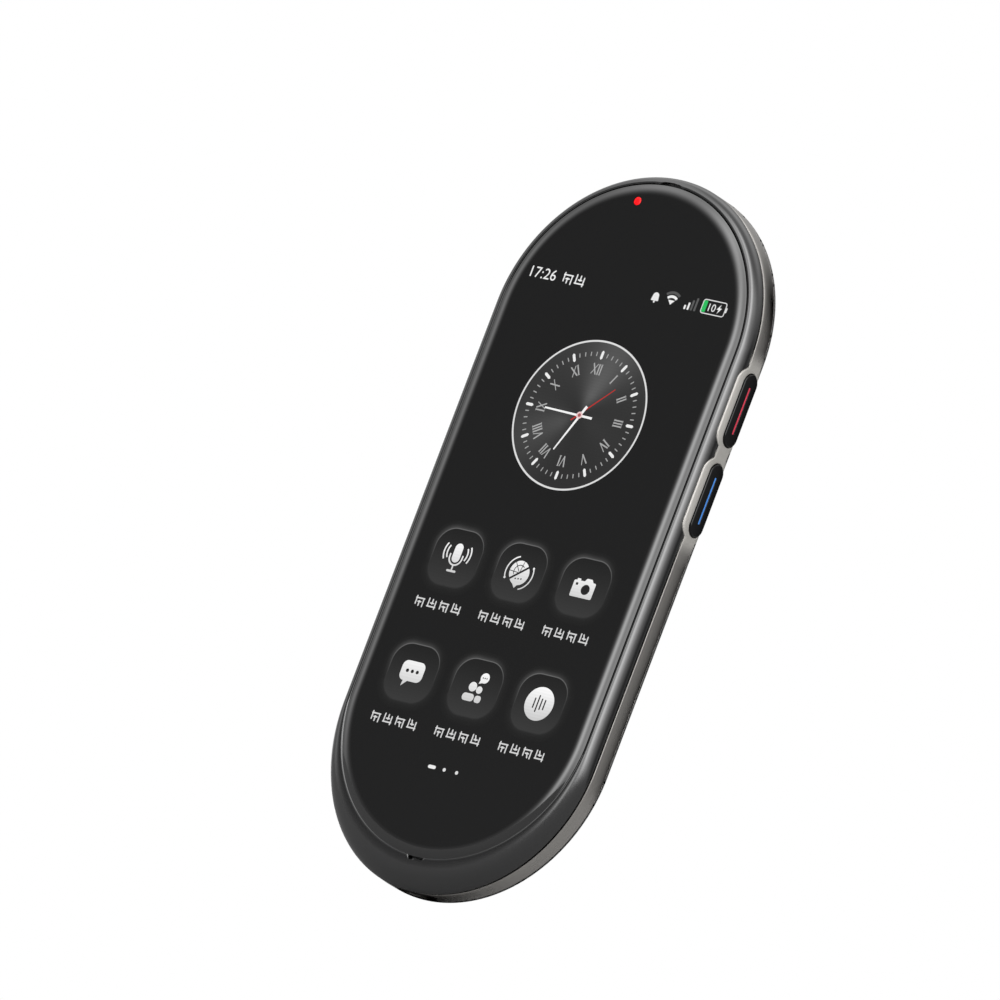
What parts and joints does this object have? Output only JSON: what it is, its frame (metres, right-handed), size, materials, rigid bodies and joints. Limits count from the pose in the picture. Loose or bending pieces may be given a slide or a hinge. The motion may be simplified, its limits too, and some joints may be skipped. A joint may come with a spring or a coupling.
{
  "type": "handheld translator",
  "caption": "Pill-shaped pocket translator with a full-height screen, side talk keys, a power key, a rear camera and a dimpled back with an arc of speaker holes.",
  "frame": {"origin": "middle of the flat back face, which lies in the palm", "axes": "+Z along the device to its top end, -Y out of the screen, +Y out of the back, +X to the right of a person reading the screen"},
  "size_m": [0.0574, 0.0131, 0.1336],
  "materials": {
    "screen_glass": "polished cover glass with a black print behind it",
    "screen_panel": "black screen panel",
    "ribbon_film": "amber film ribbon",
    "bezel_metal": "glossy dark grey metallic paint",
    "rail_metal": "satin titanium grey",
    "cover_metal": "satin grey metallic paint over a dimpled moulding",
    "plate_steel": "stamped sheet",
    "status_red": "red light pipe",
    "camera_trim": "gloss black trim ring",
    "camera_glass": "clear lens window",
    "lens_black": "black barrel with a coated lens",
    "module_black": "black moulding",
    "key_black": "near-black satin key cap",
    "line_red": "red light line",
    "line_blue": "blue light line",
    "key_red": "anodised red key cap",
    "switch_steel": "switch shell",
    "circuit_board": "green solder mask",
    "shield_steel": "tinned shield",
    "cell_foil": "laminated foil pouch",
    "mesh_cloth": "fine acoustic mesh",
    "usb_steel": "drawn socket shell",
    "screw_steel": "small machine screw"
  },
  "bodies": {
    "housing": {"back_cover": "cover_metal", "battery": "cell_foil", "blue_key_switch": "switch_steel", "board_screw_1": "screw_steel", "board_screw_2": "screw_steel", "board_screw_3": "screw_steel", "board_screw_4": "screw_steel", "board_screw_5": "screw_steel", "board_screw_6": "screw_steel", "bottom_microphone": "shield_steel", "camera_barrel": "lens_black", "camera_module": "module_black", "camera_ring": "camera_trim", "camera_window": "camera_glass", "cover_glass": "screen_glass", "display_panel": "screen_panel", "display_ribbon": "ribbon_film", "front_bezel": "bezel_metal", "left_key_board": "circuit_board", "lower_board": "circuit_board", "main_board": "circuit_board", "mid_frame": "rail_metal", "mid_plate": "plate_steel", "power_key_switch": "switch_steel", "processor_shield": "shield_steel", "radio_shield": "shield_steel", "red_key_switch": "switch_steel", "right_key_board": "circuit_board", "side_microphone": "shield_steel", "speaker_box": "module_black", "speaker_mesh": "mesh_cloth", "status_light": "status_red", "top_microphone": "shield_steel", "usb_shell": "usb_steel", "usb_tongue": "module_black"},
    "red_talk_key": {"talk_button_red": "key_black", "red_light_bar": "line_red"},
    "blue_talk_key": {"talk_button_blue": "key_black", "blue_light_bar": "line_blue"},
    "power_key": {"power_button": "key_red"}
  },
  "joints": [
    {"name": "red_talk_key_press", "type": "slide", "parent": "housing", "child": "red_talk_key", "axis": [-1, 0, 0], "range_m": [0, 0.0004], "stiffness_N_per_m": 1000},
    {"name": "blue_talk_key_press", "type": "slide", "parent": "housing", "child": "blue_talk_key", "axis": [-1, 0, 0], "range_m": [0, 0.0004], "stiffness_N_per_m": 1000},
    {"name": "power_key_press", "type": "slide", "parent": "housing", "child": "power_key", "axis": [1, 0, 0], "range_m": [0, 0.0004], "stiffness_N_per_m": 1000}
  ]
}
